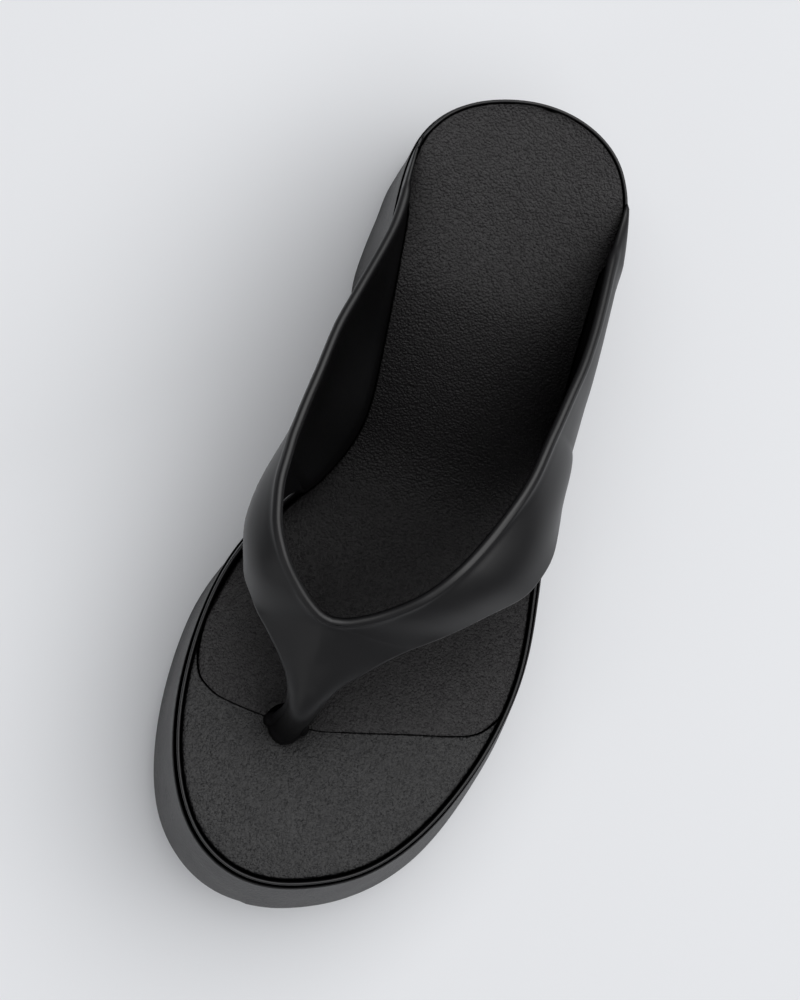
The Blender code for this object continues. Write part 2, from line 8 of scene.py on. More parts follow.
import bpy
import numpy as np
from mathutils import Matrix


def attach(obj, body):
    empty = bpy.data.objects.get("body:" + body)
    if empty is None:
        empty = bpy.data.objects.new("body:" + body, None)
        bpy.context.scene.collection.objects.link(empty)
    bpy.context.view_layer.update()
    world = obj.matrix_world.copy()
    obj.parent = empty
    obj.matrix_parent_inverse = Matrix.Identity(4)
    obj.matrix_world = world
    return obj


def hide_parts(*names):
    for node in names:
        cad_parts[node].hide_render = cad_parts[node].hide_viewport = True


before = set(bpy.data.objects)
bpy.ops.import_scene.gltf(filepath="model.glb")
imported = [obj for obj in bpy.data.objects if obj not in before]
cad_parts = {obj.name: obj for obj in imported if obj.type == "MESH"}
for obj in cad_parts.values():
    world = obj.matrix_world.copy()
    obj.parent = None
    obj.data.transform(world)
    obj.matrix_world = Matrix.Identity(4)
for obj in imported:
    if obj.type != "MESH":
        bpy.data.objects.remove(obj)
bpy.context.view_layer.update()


# ---------------------------------------------------------------- sole
# One block of foamed plastic from heel to toe. Its wall leans out from the rim, carries a fine leather-like
# grain, and ends in a smooth chamfer along the lower edge. The moulding is a single shot with a notch below
# the waist and a sprung toe.

MM = 0.001
LENGTH = 260.0                # overall length of the sole
CENTRE_X = 0.22               # middle of the widest part, put on the Z axis

SOLE_STEPS = 190              # points along each side of the rim
SHOULDER_STEPS = 6            # points over the shoulder at the top of the wall, and down the slot's side
WALL_STEPS = 26               # rows of the wall between the rim and the chamfer
UNDERSIDE_STEPS = 24          # points across the deck and the underside
CHAMFER_INSET = 0.85          # width of the chamfer for each unit of its height
EDGE_SOFT = 0.7               # how far the rounding of an edge reaches to each side
EDGE_SOFT_SHARE = 0.35        # the most that it takes of the chamfer's height
SLOT_CLEARANCE = 0.1          # between the slot's inner wall and the band
SLOT_DEPTH = 0.9              # depth of the slot, and how much deeper it is for each unit of the band's inset
SLOT_DEPTH_GAIN = 0.45
CREST_SHARE = 0.3             # where the shoulder's crest lies in the slot's width
SHOULDER_DROP = 0.35          # height of the shoulder, and how much higher it is for each unit of the slot
SHOULDER_DROP_GAIN = 0.6


class Table:
    """Rows with named columns, read between the rows as smooth curves of the first column."""

    SAMPLES = 8001
    BLUR_SHIFTS = (-1, -0.5, 0, 0.5, 1)

    def __init__(self, columns, *rows, blur=0.0):
        self.columns = columns
        self.rows = np.array(rows, dtype=float)
        self.places = np.linspace(self.rows[0, 0], self.rows[-1, 0], self.SAMPLES)
        self.curves = {name: self.cubic(name, self.places) for name in columns}
        self.even = {name: sum(self.cubic(name, self.places + blur * shift) for shift in self.BLUR_SHIFTS)
                     / len(self.BLUR_SHIFTS) for name in columns}

    def cubic(self, name, place):
        """Monotone cubic through one column, held level beyond the first and last row."""
        x = self.rows[:, 0]
        y = self.rows[:, self.columns.index(name)]
        step = np.diff(x)
        slope = np.diff(y) / step
        tangent = np.zeros(len(x))
        tangent[0], tangent[-1] = slope[0], slope[-1]
        for i in range(1, len(x) - 1):
            if slope[i - 1] * slope[i] > 0:
                before, after = 2 * step[i] + step[i - 1], step[i] + 2 * step[i - 1]
                tangent[i] = (before + after) / (before / slope[i - 1] + after / slope[i])
        place = np.clip(place, x[0], x[-1])
        i = np.clip(np.searchsorted(x, place, side="right") - 1, 0, len(step) - 1)
        t = (place - x[i]) / step[i]
        return (y[i] * (1 + 2 * t) * (1 - t) ** 2 + y[i + 1] * t * t * (3 - 2 * t)
                + step[i] * t * (1 - t) * (tangent[i] * (1 - t) - tangent[i + 1] * t))

    def curve(self, name, place):
        """One column at a place, read from finely spaced values."""
        return np.interp(place, self.places, self.curves[name])

    def at(self, name, place):
        """The same, evened out over a short stretch so that no kink shows at a row."""
        return np.interp(place, self.places, self.even[name])


# Top edge of the sole seen from above, once round from the heel along the medial side.
OUTLINE = (
    (7.4, 1.0), (9.8, -12.0), (16.4, -24.2), (26.0, -30.9), (38.0, -32.6), (52.0, -31.6), (72.0, -28.6),
    (94.0, -25.6), (111.0, -25.1), (124.0, -29.8), (142.0, -40.0), (158.0, -47.4), (176.0, -51.2),
    (194.0, -51.9), (212.0, -49.7), (228.0, -44.2), (241.0, -34.9), (248.4, -22.0), (249.6, -11.0),
    (246.2, 3.2), (238.8, 17.2), (225.0, 30.0), (208.0, 38.9), (188.0, 45.2), (168.0, 48.2), (146.0, 46.7),
    (124.0, 42.9), (104.0, 39.6), (84.0, 37.0), (64.0, 36.2), (44.0, 36.4), (29.6, 33.4), (17.3, 26.9),
    (9.6, 15.2),
)
# Groove between sole and band, height of the band over it, how far the band stands in from the wall on
# either side, half the band's thickness, which is small where its lip is free and larger below a strap,
# how far the footbed lies below the lip, and how wide the furrow is between them.
RIM = Table(
    ("s", "groove", "band", "medial", "lateral", "medial_half", "lateral_half", "below", "furrow"),
    (7.0, 100.8, 4.8, 0.6, 0.6, 0.45, 0.45, 0.35, 0.6),
    (29.0, 97.6, 4.8, 0.6, 0.6, 0.45, 0.5, 0.35, 0.6),
    (42.6, 95.1, 4.8, 0.6, 0.6, 0.45, 0.55, 0.45, 0.6),
    (46.2, 94.45, 4.8, 0.6, 0.6, 1.2, 1.9, 0.5, 0.6),
    (50.0, 93.8, 4.8, 0.6, 0.6, 1.6, 2.5, 0.5, 0.6),
    (55.0, 92.9, 4.8, 0.6, 0.6, 1.7, 2.4, 0.55, 0.6),
    (65.0, 90.8, 4.8, 0.6, 0.7, 1.6, 2.0, 0.6, 0.6),
    (76.0, 86.3, 4.8, 0.6, 0.8, 1.5, 1.7, 0.6, 0.6),
    (90.0, 79.4, 4.8, 0.6, 1.0, 1.5, 1.5, 0.6, 0.6),
    (103.0, 72.4, 5.0, 0.6, 1.3, 1.5, 1.5, 0.6, 0.6),
    (109.0, 69.3, 5.0, 0.6, 1.5, 1.5, 0.8, 0.7, 0.7),
    (115.5, 66.2, 5.0, 0.6, 1.7, 1.5, 0.5, 0.8, 0.8),
    (128.0, 63.5, 4.8, 0.6, 2.0, 1.5, 0.45, 0.9, 0.9),
    (136.0, 63.4, 4.7, 0.6, 2.0, 1.0, 0.45, 0.95, 1.0),
    (145.0, 63.4, 4.6, 0.6, 1.9, 0.9, 0.45, 0.95, 1.1),
    (166.0, 66.4, 4.4, 0.7, 1.5, 0.9, 0.45, 0.95, 1.1),
    (180.0, 69.4, 4.3, 0.9, 1.2, 0.45, 0.45, 0.95, 1.1),
    (190.0, 71.6, 4.2, 1.1, 1.1, 0.45, 0.45, 0.95, 1.1),
    (208.0, 75.0, 3.9, 1.4, 1.4, 0.45, 0.45, 0.95, 1.2),
    (229.0, 79.2, 3.6, 1.7, 1.8, 0.45, 0.45, 0.95, 1.2),
    (250.0, 82.6, 3.4, 2.0, 2.0, 0.45, 0.45, 0.95, 1.2),
    blur=3.0,
)

# Lower edge of the sole: the waist notch starts later on the medial side.
BOTTOM = Table(
    ("s", "medial", "lateral"),
    (0.0, 24.0, 24.0),
    (1.2, 15.6, 15.6),
    (4.6, 7.2, 7.2),
    (10.0, 1.8, 1.8),
    (17.0, 0.0, 0.0),
    (67.0, 0.0, 0.0),
    (76.0, 0.0, 3.0),
    (86.0, 2.6, 9.0),
    (96.0, 6.8, 12.4),
    (105.0, 7.6, 10.3),
    (113.0, 5.4, 5.0),
    (124.0, 1.2, 0.8),
    (133.0, 0.0, 0.0),
    (153.0, 0.0, 0.0),
    (166.0, 1.2, 1.2),
    (187.0, 5.5, 5.5),
    (208.0, 12.0, 12.0),
    (229.0, 20.2, 20.2),
    (250.0, 30.6, 30.6),
    (260.5, 41.0, 41.0),
)

# How far the wall leans out below the rim, the height of the chamfer along its foot, and how early in its
# height the wall leans out (1 is a straight wall).
WALL = Table(
    ("s", "medial", "lateral", "chamfer", "bow"),
    (7.4, 7.4, 7.4, 0.8, 1.9),
    (12.0, 4.4, 6.0, 1.2, 1.9),
    (18.0, 1.4, 4.2, 1.8, 1.9),
    (26.0, -1.2, 3.4, 2.1, 1.9),
    (38.0, -1.1, 2.8, 2.3, 1.8),
    (48.0, 0.5, 2.6, 2.4, 1.8),
    (64.0, 3.0, 2.8, 2.5, 1.7),
    (90.0, 3.0, 3.4, 2.6, 1.7),
    (110.0, 1.8, 3.9, 3.0, 1.6),
    (134.0, -2.8, 4.8, 3.6, 1.6),
    (158.0, -2.4, 6.2, 4.4, 1.5),
    (170.0, -0.6, 7.0, 4.5, 1.5),
    (180.0, 0.8, 7.8, 4.6, 1.4),
    (190.0, 1.6, 8.8, 4.6, 1.4),
    (204.0, 2.8, 9.8, 4.4, 1.3),
    (218.0, 4.6, 11.2, 3.8, 1.2),
    (230.0, 6.9, 12.2, 2.8, 1.15),
    (243.0, 10.2, 12.4, 1.4, 1.15),
    (250.0, 11.7, 11.7, 0.9, 1.15),
    blur=3.0,
)


def outline_curve(points, steps=120):
    """Closed curve through the outline's points with an even bend: a periodic cubic spline."""
    knots = np.array(points)
    count = len(knots)
    chord = np.linalg.norm(np.roll(knots, -1, axis=0) - knots, axis=1)
    rows = np.zeros((count, count))
    right = np.zeros((count, 2))
    for i in range(count):
        before, after = chord[i - 1], chord[i]
        rows[i, i - 1] += before
        rows[i, i] += 2 * (before + after)
        rows[i, (i + 1) % count] += after
        right[i] = 6 * ((knots[(i + 1) % count] - knots[i]) / after - (knots[i] - knots[i - 1]) / before)
    bend = np.linalg.solve(rows, right)
    curve = []
    for i in range(count):
        p0, p1, m0, m1, h = knots[i], knots[(i + 1) % count], bend[i], bend[(i + 1) % count], chord[i]
        for t in np.arange(steps) / steps:
            curve.append(p0 * (1 - t) + p1 * t
                         + h * h / 6 * (((1 - t) ** 3 - (1 - t)) * m0 + (t ** 3 - t) * m1))
    return np.array(curve)


def outward(points):
    """Unit normals of a closed ring of points that runs from the heel along the medial side."""
    along = np.roll(points, -1, axis=0) - np.roll(points, 1, axis=0)
    normal = np.column_stack([along[:, 1], -along[:, 0]])
    return normal / np.linalg.norm(normal, axis=1)[:, None]


def two_sides(curve):
    """The medial and the lateral side of a closed curve, both from heel to toe."""
    heel = int(np.argmin(curve[:, 0]))
    rolled = np.roll(curve, -heel, axis=0)
    toe = int(np.argmax(rolled[:, 0]))
    return rolled[: toe + 1], np.vstack([rolled[toe:], rolled[:1]])[::-1]


def evenly(side, shares):
    """Points at the given shares of a side's length."""
    run = np.concatenate([[0], np.cumsum(np.linalg.norm(np.diff(side, axis=0), axis=1))])
    return np.column_stack([np.interp(shares * run[-1], run, side[:, k]) for k in (0, 1)])


FINE_OUTLINE = outline_curve(OUTLINE)
if np.sum(outward(FINE_OUTLINE) * (FINE_OUTLINE - FINE_OUTLINE.mean(axis=0))) < 0:
    raise ValueError("the outline runs the wrong way round")
MEDIAL_SIDE, LATERAL_SIDE = two_sides(FINE_OUTLINE)
HEEL_S, TOE_S = MEDIAL_SIDE[0, 0], MEDIAL_SIDE[-1, 0]


class Form:
    """Vertices in (s, x, z) millimetres, faces, and how strongly each vertex shows the moulded grain."""

    def __init__(self):
        self.points = []
        self.faces = []
        self.grain = []

    def add(self, points, grain=0.0):
        first = len(self.points)
        self.points += [tuple(float(c) for c in p) for p in points]
        self.grain += list(np.broadcast_to(np.asarray(grain, dtype=float), len(points)))
        return list(range(first, len(self.points)))

    def strip(self, before, after, closed=False, flip=False):
        """Quads between two rows of vertices, leaving out the sides that have no length."""
        last = len(before) if closed else len(before) - 1
        for k in range(last):
            n = (k + 1) % len(before)
            face = tuple(dict.fromkeys((before[k], before[n], after[n], after[k])))
            if len(face) > 2:
                self.faces.append(face[::-1] if flip else face)

    def build(self, name, material):
        mesh = bpy.data.meshes.new(name)
        mesh.from_pydata([((x - CENTRE_X) * MM, (LENGTH / 2 - s) * MM, z * MM) for s, x, z in self.points],
                         [], self.faces)
        mesh.attributes.new("grain", "FLOAT", "POINT").data.foreach_set("value", self.grain)
        mesh.shade_smooth()
        mesh.materials.append(material)
        obj = bpy.data.objects.new(name, mesh)
        bpy.context.scene.collection.objects.link(obj)
        return obj


def softened(corner, before, after, steps=5):
    """A corner of a section rounded off: a short curve from the point before it to the point after it."""
    return [before * (1 - t) ** 2 + corner * 2 * t * (1 - t) + after * t * t
            for t in np.linspace(0, 1, steps)]


def sole_section(s, flare, chamfer, top, bottom, bow, inset):
    """One upright section, as outward offset and height: deck, slot beside the band, shoulder, wall, foot."""
    slot = inset - SLOT_CLEARANCE
    depth = SLOT_DEPTH + SLOT_DEPTH_GAIN * inset
    crest, shoulder = CREST_SHARE * slot, SHOULDER_DROP + SHOULDER_DROP_GAIN * slot
    section = [np.array([-slot, top]), np.array([-slot, top - 0.92 * depth])]
    section += [np.array([-crest - (slot - crest) * t, top - depth * t ** 1.6])
                for t in np.linspace(0.94, 0.12, SHOULDER_STEPS)]
    section += [np.array([-crest * (1 - math.sin(a)), top - shoulder * (1 - math.cos(a))])
                for a in np.linspace(0, math.pi / 2, SHOULDER_STEPS)]
    wall_top, wall_foot = top - shoulder, bottom + chamfer
    soft = min(EDGE_SOFT, EDGE_SOFT_SHARE * chamfer)
    section += [np.array([flare * (1 - (1 - v) ** bow), wall_top + (wall_foot - wall_top) * v])
                for v in np.linspace(0, 1, WALL_STEPS)[1:-1]]
    foot = np.array([flare, wall_foot])
    edge = np.array([flare - CHAMFER_INSET * chamfer, bottom])
    slope = (edge - foot) / np.linalg.norm(edge - foot)
    section += softened(foot, foot + np.array([0.0, soft]), foot + slope * soft)
    section += softened(edge, edge - slope * soft, edge + np.array([-soft, 0.0]))
    return section


def build_sole(material):
    shares = np.linspace(0, 1, SOLE_STEPS + 1)
    medial, lateral = evenly(MEDIAL_SIDE, shares), evenly(LATERAL_SIDE, shares)
    ring = np.vstack([medial, lateral[-2:0:-1]])
    normal = outward(ring)
    columns, grains = [], []
    for i, (s, x) in enumerate(ring):
        side = "medial" if i <= SOLE_STEPS else "lateral"
        flare, chamfer, bow = (float(WALL.at(name, s)) for name in (side, "chamfer", "bow"))
        foot_s = s + normal[i, 0] * flare
        along = (s - HEEL_S) / (TOE_S - HEEL_S)
        own_side = min(1.0, 4 * math.sqrt(max(0.0, along * (1 - along))))
        middle = (BOTTOM.curve("medial", foot_s) + BOTTOM.curve("lateral", foot_s)) / 2
        bottom = float(middle + (BOTTOM.curve(side, foot_s) - middle) * own_side)
        section = sole_section(s, flare, chamfer, float(RIM.at("groove", s)), bottom, bow,
                               float(RIM.at(side, s)))
        columns.append([(s + normal[i, 0] * out, x + normal[i, 1] * out, z) for out, z in section])
        grains.append([0.0] * (SHOULDER_STEPS + 2) + list(np.linspace(0.2, 1.0, SHOULDER_STEPS))
                      + [1.0] * (WALL_STEPS - 2) + [0.8, 0.4, 0.0, 0.0, 0.0] + [0.0] * 5)
    form = Form()
    rows = [form.add([column[k] for column in columns], [grain[k] for grain in grains])
            for k in range(len(columns[0]))]
    for upper, lower in zip(rows, rows[1:]):
        form.strip(lower, upper, closed=True)
    for edge, flip in ((rows[0], True), (rows[-1], False)):
        rungs = [[edge[0]] * (UNDERSIDE_STEPS + 1)]
        for j in range(1, SOLE_STEPS):
            a, b = (np.array(form.points[edge[k]]) for k in (j, len(edge) - j))
            inner = [a + (b - a) * t for t in np.linspace(0, 1, UNDERSIDE_STEPS + 1)[1:-1]]
            rungs.append([edge[j]] + form.add(inner, 0.6) + [edge[len(edge) - j]])
        rungs.append([edge[SOLE_STEPS]] * (UNDERSIDE_STEPS + 1))
        for before, after in zip(rungs, rungs[1:]):
            form.strip(before, after, flip=flip)
    return form.build("sole_moulding", material)


SHINE = 0.46                  # specular level of the plastic in the open, lowered in hollows by painted shade
PAINTED_SHADE_REACH = 0.10           # how far the painted shade of hollows reaches, in metres, and how fast it darkens
PAINTED_SHADE_POWER = 2.0
ROUGHNESS_SPREAD = 0.06       # slow change of the roughness to either side


def moulded_plastic(name, dark, light, roughness, grain_size, grain_depth, mottle=14.0):
    """Near-black moulded plastic with a pebbled grain where the mesh asks for it. Hollows get painted shade:
    an ambient occlusion node darkens its colour and its specular level there.
    """
    material = bpy.data.materials.new(name)
    material.use_nodes = True
    nodes, link = material.node_tree.nodes, material.node_tree.links.new
    shader = nodes["Principled BSDF"]

    def new(kind, inputs=(), **settings):
        made = nodes.new("ShaderNode" + kind)
        for setting, value in settings.items():
            setattr(made, setting, value)
        for socket, value in dict(inputs).items():
            made.inputs[socket].default_value = value
        return made

    place = new("TexCoord").outputs["Object"]
    cloud = new("TexNoise", {"Scale": 1000 / mottle, "Detail": 3.0})
    link(place, cloud.inputs["Vector"])
    tone = new("Mix", {6: (*dark, 1.0), 7: (*light, 1.0)}, data_type="RGBA")
    link(cloud.outputs["Fac"], tone.inputs[0])

    # Painted shade: ambient occlusion darkens the colour and the specular level in hollows and between parts.
    painted_shade_ao = new("AmbientOcclusion", {"Distance": PAINTED_SHADE_REACH}, samples=6)
    painted_shade = new("Math", {1: PAINTED_SHADE_POWER}, operation="POWER")
    link(painted_shade_ao.outputs["AO"], painted_shade.inputs[0])
    shade = new("VectorMath", operation="SCALE")
    link(tone.outputs[2], shade.inputs[0])
    link(painted_shade.outputs[0], shade.inputs["Scale"])
    link(shade.outputs[0], shader.inputs["Base Color"])
    shine_with_painted_shade = new("Math", {1: SHINE}, operation="MULTIPLY")
    link(painted_shade.outputs[0], shine_with_painted_shade.inputs[0])
    shader.inputs["Specular IOR Level"].default_value = SHINE
    link(shine_with_painted_shade.outputs[0], shader.inputs["Specular IOR Level"])

    pebbles = new("TexVoronoi", {"Scale": 1000 / grain_size, "Smoothness": 0.6}, feature="SMOOTH_F1")
    link(place, pebbles.inputs["Vector"])
    fine = new("TexNoise", {"Scale": 1400 / grain_size, "Detail": 4.0})
    link(place, fine.inputs["Vector"])
    relief = new("Math", operation="SUBTRACT")
    link(fine.outputs["Fac"], relief.inputs[0])
    link(pebbles.outputs["Distance"], relief.inputs[1])
    mask = new("Attribute", attribute_name="grain")
    masked = new("Math", operation="MULTIPLY")
    link(relief.outputs[0], masked.inputs[0])
    link(mask.outputs["Fac"], masked.inputs[1])
    bump = new("Bump", {"Strength": 1.0, "Distance": grain_depth * MM})
    link(masked.outputs[0], bump.inputs["Height"])
    link(bump.outputs["Normal"], shader.inputs["Normal"])

    sheen = new("MapRange", {"To Min": roughness - ROUGHNESS_SPREAD, "To Max": roughness + ROUGHNESS_SPREAD})
    link(cloud.outputs["Fac"], sheen.inputs["Value"])
    link(sheen.outputs["Result"], shader.inputs["Roughness"])
    return material


sole = build_sole(moulded_plastic(
    "grained_sole_plastic", (0.0105, 0.0100, 0.0112), (0.0135, 0.0130, 0.0142),
    roughness=0.52, grain_size=1.0, grain_depth=0.28))
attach(sole, "root")
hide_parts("sole")


# ---------------------------------------------------------------- upper
# One soft moulding, dropped into the sole's rim: a low band all round with a thin lip, the toe bed inside it,
# and two straps that grow out of the band and meet over the instep, where they turn down into the toe post.
# A rolled bead follows the straps' throat edge.

GAP = 0.3                     # clearance between pieces that touch
SEAM_GAP = 0.14               # the same along the seam between toe bed and insole
DECK_GAP = 0.45               # clearance over the sole's deck
LIP_HALF = 0.45               # half thickness of the free lip
STRAP_HALF = 1.2              # half thickness of the straps away from the band
STRAP_SETTLE = 7.0            # height over which a strap's foot thins down to that
FULL_STRAP = 12.0             # height from which a strap has its full thickness
STRAP_START = 28.0            # station where the band begins to rise into the straps
MEDIAL_WINDOW = 133.0         # stations of the rear corners of the openings
LATERAL_WINDOW = 104.6
RING_STEP = 1.7               # spacing of the stations along the band
RIB_STEP = 0.06               # spacing of the free ribs, in rows of their tables
POST_STEP = 0.14
POST_FIRST_STEP = 0.06
FAIR_RIBS = 1.3               # rows of ribs and of the post that are faired into one surface where they meet
FAIR_POST = 2.0
FAIR_ROUNDS = 900             # rounds of the conjugate gradient that solves for it
MOAT = 1.1                    # depth of the furrow between the lip and the footbed
BED_STEPS = 110

# How far the band's lip rises into the rear corners of the openings below the straps.
RISE = Table(
    ("s", "medial", "lateral"),
    (92.0, 0.0, 0.0),
    (102.4, 0.0, 4.0),
    (103.9, 0.0, 4.0),
    (104.6, 0.0, 2.8),
    (106.4, 0.0, 1.1),
    (110.5, 0.0, 0.3),
    (114.0, 0.6, 0.0),
    (124.0, 6.6, 0.0),
    (131.8, 10.8, 0.0),
    (133.2, 10.8, 0.0),
    (134.2, 8.9, 0.0),
    (136.2, 7.0, 0.0),
    (139.0, 5.6, 0.0),
    (146.0, 4.2, 0.0),
    (158.0, 2.6, 0.0),
    (166.0, 1.1, 0.0),
    (178.0, 0.0, 0.0),
)

# Throat edge of both straps while they still stand on the band.
THROAT = Table(
    ("s", "medial", "lateral", "medial_z", "lateral_z"),
    (28.0, -31.0, 31.8, 102.6, 102.7),
    (34.0, -31.2, 32.0, 103.2, 103.7),
    (40.0, -31.1, 31.9, 104.0, 105.4),
    (46.0, -30.6, 31.6, 104.9, 108.0),
    (52.0, -30.8, 31.7, 106.0, 110.3),
    (58.0, -31.7, 31.8, 107.7, 112.2),
    (64.0, -33.0, 31.8, 109.4, 114.0),
    (76.0, -35.9, 31.2, 112.9, 117.5),
    (88.0, -38.6, 29.4, 115.6, 120.5),
    (101.0, -40.0, 27.4, 118.3, 122.9),
    (113.0, -41.4, 25.4, 120.2, 124.5),
    (125.0, -42.3, 21.7, 121.6, 125.6),
)

# Ribs of the straps after they leave the band: lower edge, throat edge, outward bulge between them.
RIB_COLUMNS = ("rib", "low_s", "low_x", "low_z", "throat_s", "throat_x", "throat_z", "bulge")
RIBS_MEDIAL = Table(
    RIB_COLUMNS,
    (0, 134.0, -33.8, 79.2, 118.5, -41.8, 121.0, 4.2),
    (0.2, 134.2, -35.4, 82.0, 121.0, -42.0, 121.2, 4.3),
    (1, 141.0, -40.6, 88.6, 131.0, -42.0, 122.0, 4.6),
    (2, 151.2, -44.6, 96.0, 143.5, -39.9, 122.4, 4.2),
    (3, 161.0, -42.7, 102.0, 153.4, -35.0, 121.6, 4.0),
    (4, 167.6, -38.4, 104.8, 161.0, -28.3, 119.6, 3.6),
    (4.5, 169.6, -37.0, 105.4, 165.3, -23.0, 118.3, 3.1),
    (4.8, 170.8, -36.0, 105.8, 167.2, -19.3, 117.5, 2.8),
    (5, 171.5, -35.4, 106.0, 167.7, -16.6, 117.1, 2.6),
)
RIBS_LATERAL = Table(
    RIB_COLUMNS,
    (0, 104.9, 38.4, 80.4, 98.0, 27.8, 122.2, 4.0),
    (0.2, 105.2, 38.6, 83.4, 100.4, 27.4, 122.8, 4.0),
    (1, 114.5, 38.8, 94.2, 112.5, 25.6, 124.6, 3.7),
    (2, 129.5, 38.7, 107.2, 127.5, 20.8, 125.7, 3.2),
    (3, 142.5, 35.0, 112.6, 142.0, 14.3, 125.6, 2.6),
    (4, 153.5, 24.6, 113.4, 153.0, 6.9, 123.5, 1.9),
    (5, 161.5, 16.0, 112.4, 161.5, -2.7, 119.9, 1.2),
    (5.5, 165.0, 11.8, 111.8, 165.3, -8.9, 118.3, 1.0),
    (5.8, 167.0, 9.2, 111.2, 167.2, -13.4, 117.4, 0.9),
    (6, 168.2, 7.6, 110.8, 167.7, -16.6, 117.1, 0.9),
)

# From the meeting of the straps down through the bend into the toe post: both edges and the crown between.
POST_COLUMNS = ("part", "med_s", "med_x", "med_z", "mid_s", "mid_x", "mid_z",
                "lat_s", "lat_x", "lat_z", "half")
POST = Table(
    POST_COLUMNS,
    (0, 171.5, -35.4, 106.0, 167.7, -16.6, 117.1, 168.2, 7.6, 110.8, 1.5),
    (1, 176.4, -30.2, 106.0, 173.0, -16.5, 113.8, 173.6, 1.4, 109.2, 1.6),
    (2, 181.4, -25.2, 105.4, 179.2, -16.2, 110.2, 179.6, -4.6, 107.0, 1.9),
    (3, 186.2, -22.1, 104.4, 185.4, -16.2, 107.2, 185.6, -9.6, 105.4, 2.2),
    (4, 190.2, -20.5, 102.6, 190.4, -16.2, 104.4, 190.2, -11.6, 103.2, 2.8),
    (5, 194.4, -19.8, 98.6, 194.8, -16.2, 99.4, 194.4, -12.4, 98.8, 3.8),
    (6, 196.9, -20.0, 92.8, 197.3, -16.4, 92.8, 196.9, -12.7, 92.8, 4.4),
    (7, 199.0, -20.5, 86.0, 199.4, -16.7, 86.0, 199.0, -13.1, 86.0, 4.6),
    (8, 200.8, -21.0, 81.2, 201.2, -17.2, 81.2, 200.8, -13.4, 81.2, 5.0),
    (9, 201.8, -22.3, 77.8, 202.2, -17.5, 77.8, 201.8, -12.7, 77.8, 5.8),
    (10, 202.2, -22.7, 75.8, 202.4, -17.6, 75.8, 202.2, -12.5, 75.8, 5.9),
)
POST_CROWN = 2.2              # how flat the crown of the bend is
POST_EDGE_TAPER = 0.62        # how much thinner the post is at its sides than in its middle
RIB_TAKEOVER = 0.8            # rows over which the free ribs, and the post, leave the row they start from
POST_TAKEOVER = 1.6
POST_BEAD_ENDS = 2.5          # row of the post where the throat's bead has died out
BULGE_GROWTH = {"medial": 1.6, "lateral": 0.6}   # how late a strap's outward bulge grows with its height

# Front edge of the insole, from its medial to its lateral end, as a distance ahead of a straight line.
SEAM_MEDIAL = 174.4
SEAM_LATERAL = 181.5
SEAM = Table(
    ("across", "ahead"),
    (-1.0, 0.0),
    (-0.985, 7.4),
    (-0.978, 11.6),
    (-0.959, 16.4),
    (-0.918, 20.6),
    (-0.857, 22.7),
    (-0.749, 24.4),
    (-0.5, 24.9),
    (-0.3, 24.6),
    (-0.095, 23.7),
    (0.155, 20.3),
    (0.476, 15.3),
    (0.791, 10.4),
    (0.879, 8.5),
    (0.927, 6.3),
    (0.965, 3.2),
    (1.0, 0.0),
)

# The rolled bead along the throat: what it adds to the half thickness at a distance from the throat edge.
BEAD = Table(
    ("distance", "extra"),
    (0.0, 0.2),
    (0.5, 0.32),
    (0.9, 0.27),
    (1.4, 0.11),
    (1.9, 0.01),
    (2.5, -0.02),
    (3.8, 0.0),
)
BEAD_DISTANCES = (4.6, 3.8, 3.2, 2.8, 2.4, 2.1, 1.8, 1.5, 1.2, 0.8, 0.4, 0.0)
BEAD_SHARE = 0.42             # the most that the bead takes of a low strap


def band_stations(side, window_s):
    """Points along one side of the band, closer together where a strap starts and where its opening does."""
    run = np.concatenate([[0], np.cumsum(np.linalg.norm(np.diff(side, axis=0), axis=1))])
    places = np.linspace(0, run[-1], int(run[-1] / RING_STEP) + 1)
    for place, before, after in ((45.0, 3, 3), (window_s, 3, 7)):
        corner = float(np.interp(place, side[:, 0], run))
        close = corner + np.arange(-before, after + 0.01, 0.5)
        places = np.concatenate([places[(places < close[0] - 0.3) | (places > close[-1] + 0.3)], close])
    places = np.sort(places)
    return np.column_stack([np.interp(places, run, side[:, k]) for k in (0, 1)])


def bow_out(low, high, bulge, medial, places):
    """Points from low to high at the given shares, bowed outwards and a little upwards between them."""
    chord = high - low
    side = np.array([0.0, -1.0 if medial else 1.0, 0.0])
    out = side - chord * np.dot(side, chord) / np.dot(chord, chord) + np.array([0.0, 0.0, 0.25])
    out /= np.linalg.norm(out)
    return [low + chord * v + out * bulge * math.sin(math.pi * v) for v in places]


STRAP_COLUMNS = 13            # columns of a strap below the bead


def strap_profile(length, blend, foot_half):
    """Shares of a rib's length where it has a vertex, and the half thickness there without the bead."""
    shrink = min(1.0, BEAD_SHARE * length / BEAD_DISTANCES[0])
    bead = [1 - d * shrink / length for d in BEAD_DISTANCES]
    places = list(np.linspace(0, bead[0], STRAP_COLUMNS + 1)[:-1]) + bead
    settled = [min(1.0, place * length / STRAP_SETTLE) for place in places]
    halves = [foot_half + (STRAP_HALF - foot_half) * blend * w * w * (3 - 2 * w) for w in settled]
    return places, halves


class Sheet:
    """Middle surface of the upper, with the half thickness and the bead's share at each vertex."""

    def __init__(self):
        self.points, self.halves, self.bead, self.faces, self.throat, self.loose = [], [], [], [], [], []

    def add(self, points, halves, bead=0.0, loose=False):
        first = len(self.points)
        if loose:
            self.loose += range(first + 1, first + len(points) - 1)
        self.points += [np.asarray(p, dtype=float) for p in points]
        self.halves += list(np.broadcast_to(np.asarray(halves, dtype=float), len(points)))
        self.bead += [bead] * len(points)
        return list(range(first, len(self.points)))

    def strip(self, before, after, flip=False, closed=False):
        last = len(before) if closed else len(before) - 1
        for k in range(last):
            n = (k + 1) % len(before)
            face = tuple(dict.fromkeys((before[k], after[k], after[n], before[n])))
            if len(face) > 2:
                self.faces.append(face[::-1] if flip else face)


